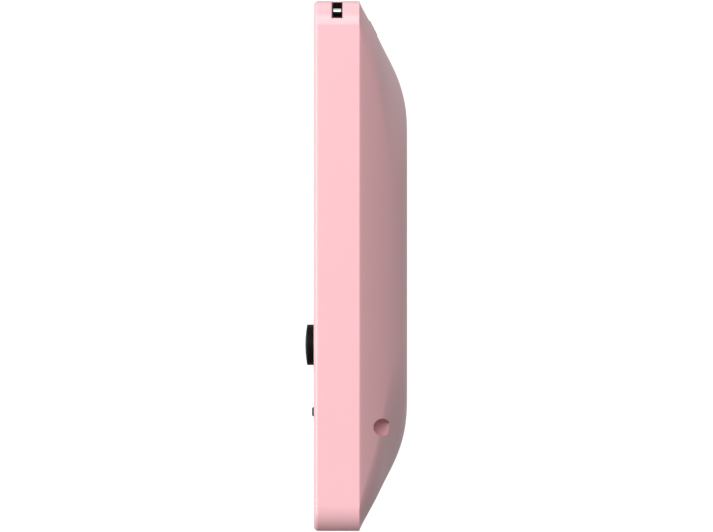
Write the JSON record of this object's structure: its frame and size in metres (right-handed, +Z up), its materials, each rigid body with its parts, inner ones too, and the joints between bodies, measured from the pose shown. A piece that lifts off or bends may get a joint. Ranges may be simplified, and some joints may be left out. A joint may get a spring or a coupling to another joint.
{
  "type": "toy teller machine savings bank",
  "caption": "Slim pink toy teller machine that works as a money box, with a keypad, a display, a coin slot and a hinged vault door at the back.",
  "frame": {"origin": "centre of the flat base, half way across the width", "axes": "+X to the right of someone facing the keypad, +Y towards the back, +Z up"},
  "size_m": [0.13, 0.0385, 0.2],
  "materials": {
    "case_pink": "satin moulded plastic, pink",
    "black_plastic": "satin black",
    "key_rubber": "matt key caps",
    "key_red": "matt red",
    "key_yellow": "matt yellow",
    "key_green": "matt green",
    "mat_silicone": "grey silicone",
    "lens_clear": "clear lens with dark border",
    "lcd": "grey-green display glass",
    "steel": "bright steel",
    "board_green": "solder mask",
    "chip_black": "chip package",
    "ribbon": "flat flexible cable",
    "inner_grey": "moulded inner parts",
    "light_clear": "clear light pipe",
    "led": "diode package",
    "cone_paper": "speaker cone",
    "magnet": "ferrite magnet",
    "cell_wrap": "cell sleeve",
    "pink_door": "satin moulded plastic, pink"
  },
  "bodies": {
    "case": {"front_shell": "case_pink", "strap_eye": "black_plastic", "strap_pin": "steel", "rear_shell": "case_pink", "hinge_pin": "steel", "screen_lens": "lens_clear", "lcd_glass": "lcd", "lcd_frame": "steel", "lcd_board": "board_green", "display_ribbon": "ribbon", "main_board": "board_green", "board_chips": "chip_black", "keypad_mat": "mat_silicone", "column_mat": "mat_silicone", "light_pipes": "light_clear", "status_leds": "led", "speaker_frame": "steel", "speaker_cone": "cone_paper", "speaker_magnet": "magnet", "coin_bezel": "black_plastic", "coin_guide": "inner_grey", "coin_sensor": "chip_black", "note_bezel": "black_plastic", "card_reader": "black_plastic", "money_tray": "inner_grey", "battery_box": "inner_grey", "cell_1": "cell_wrap", "cell_2": "cell_wrap", "cell_3": "cell_wrap", "contact_plates": "steel", "contact_springs": "steel", "case_screws": "steel", "board_screws": "steel"},
    "vault_door": {"vault_door": "pink_door"},
    "lock": {"lock_knob": "black_plastic", "lock_cam": "steel"},
    "hatch": {"battery_hatch": "pink_door", "hatch_screw": "steel"},
    "ok_pad": {"ok_pad": "black_plastic"},
    "reset_button": {"reset_button": "black_plastic"},
    "key_1": {"key_1": "key_rubber"},
    "key_2": {"key_2": "key_rubber"},
    "key_3": {"key_3": "key_rubber"},
    "key_cancel": {"key_cancel": "key_red"},
    "key_4": {"key_4": "key_rubber"},
    "key_5": {"key_5": "key_rubber"},
    "key_6": {"key_6": "key_rubber"},
    "key_clear": {"key_clear": "key_yellow"},
    "key_7": {"key_7": "key_rubber"},
    "key_8": {"key_8": "key_rubber"},
    "key_9": {"key_9": "key_rubber"},
    "key_enter": {"key_enter": "key_green"},
    "key_double_zero": {"key_double_zero": "key_rubber"},
    "key_0": {"key_0": "key_rubber"},
    "key_point": {"key_point": "key_rubber"},
    "key_menu": {"key_menu": "key_rubber"}
  },
  "joints": [
    {"name": "door_hinge", "type": "hinge", "parent": "case", "child": "vault_door", "pos_m": [-0.0263, 0.0238, 0.1045], "axis": [0, 0, 1], "range_deg": [0, 90]},
    {"name": "lock_turn", "type": "hinge", "parent": "vault_door", "child": "lock", "pos_m": [0.014, 0.0238, 0.1045], "axis": [0, -1, 0], "range_deg": [0, 90]},
    {"name": "hatch_pull", "type": "slide", "parent": "case", "child": "hatch", "axis": [0, 1, 0], "range_m": [0, 0.03]},
    {"name": "ok_press", "type": "slide", "parent": "case", "child": "ok_pad", "axis": [0, 1, 0], "range_m": [0, 0.0008], "stiffness_N_per_m": 900},
    {"name": "reset_press", "type": "slide", "parent": "case", "child": "reset_button", "axis": [0, 1, 0], "range_m": [0, 0.0005], "stiffness_N_per_m": 600},
    {"name": "press_1", "type": "slide", "parent": "case", "child": "key_1", "axis": [0, 1, 0], "range_m": [0, 0.0008], "stiffness_N_per_m": 700},
    {"name": "press_2", "type": "slide", "parent": "case", "child": "key_2", "axis": [0, 1, 0], "range_m": [0, 0.0008], "stiffness_N_per_m": 700},
    {"name": "press_3", "type": "slide", "parent": "case", "child": "key_3", "axis": [0, 1, 0], "range_m": [0, 0.0008], "stiffness_N_per_m": 700},
    {"name": "press_cancel", "type": "slide", "parent": "case", "child": "key_cancel", "axis": [0, 1, 0], "range_m": [0, 0.0008], "stiffness_N_per_m": 700},
    {"name": "press_4", "type": "slide", "parent": "case", "child": "key_4", "axis": [0, 1, 0], "range_m": [0, 0.0008], "stiffness_N_per_m": 700},
    {"name": "press_5", "type": "slide", "parent": "case", "child": "key_5", "axis": [0, 1, 0], "range_m": [0, 0.0008], "stiffness_N_per_m": 700},
    {"name": "press_6", "type": "slide", "parent": "case", "child": "key_6", "axis": [0, 1, 0], "range_m": [0, 0.0008], "stiffness_N_per_m": 700},
    {"name": "press_clear", "type": "slide", "parent": "case", "child": "key_clear", "axis": [0, 1, 0], "range_m": [0, 0.0008], "stiffness_N_per_m": 700},
    {"name": "press_7", "type": "slide", "parent": "case", "child": "key_7", "axis": [0, 1, 0], "range_m": [0, 0.0008], "stiffness_N_per_m": 700},
    {"name": "press_8", "type": "slide", "parent": "case", "child": "key_8", "axis": [0, 1, 0], "range_m": [0, 0.0008], "stiffness_N_per_m": 700},
    {"name": "press_9", "type": "slide", "parent": "case", "child": "key_9", "axis": [0, 1, 0], "range_m": [0, 0.0008], "stiffness_N_per_m": 700},
    {"name": "press_enter", "type": "slide", "parent": "case", "child": "key_enter", "axis": [0, 1, 0], "range_m": [0, 0.0008], "stiffness_N_per_m": 700},
    {"name": "press_double_zero", "type": "slide", "parent": "case", "child": "key_double_zero", "axis": [0, 1, 0], "range_m": [0, 0.0008], "stiffness_N_per_m": 700},
    {"name": "press_0", "type": "slide", "parent": "case", "child": "key_0", "axis": [0, 1, 0], "range_m": [0, 0.0008], "stiffness_N_per_m": 700},
    {"name": "press_point", "type": "slide", "parent": "case", "child": "key_point", "axis": [0, 1, 0], "range_m": [0, 0.0008], "stiffness_N_per_m": 700},
    {"name": "press_menu", "type": "slide", "parent": "case", "child": "key_menu", "axis": [0, 1, 0], "range_m": [0, 0.0008], "stiffness_N_per_m": 700}
  ]
}
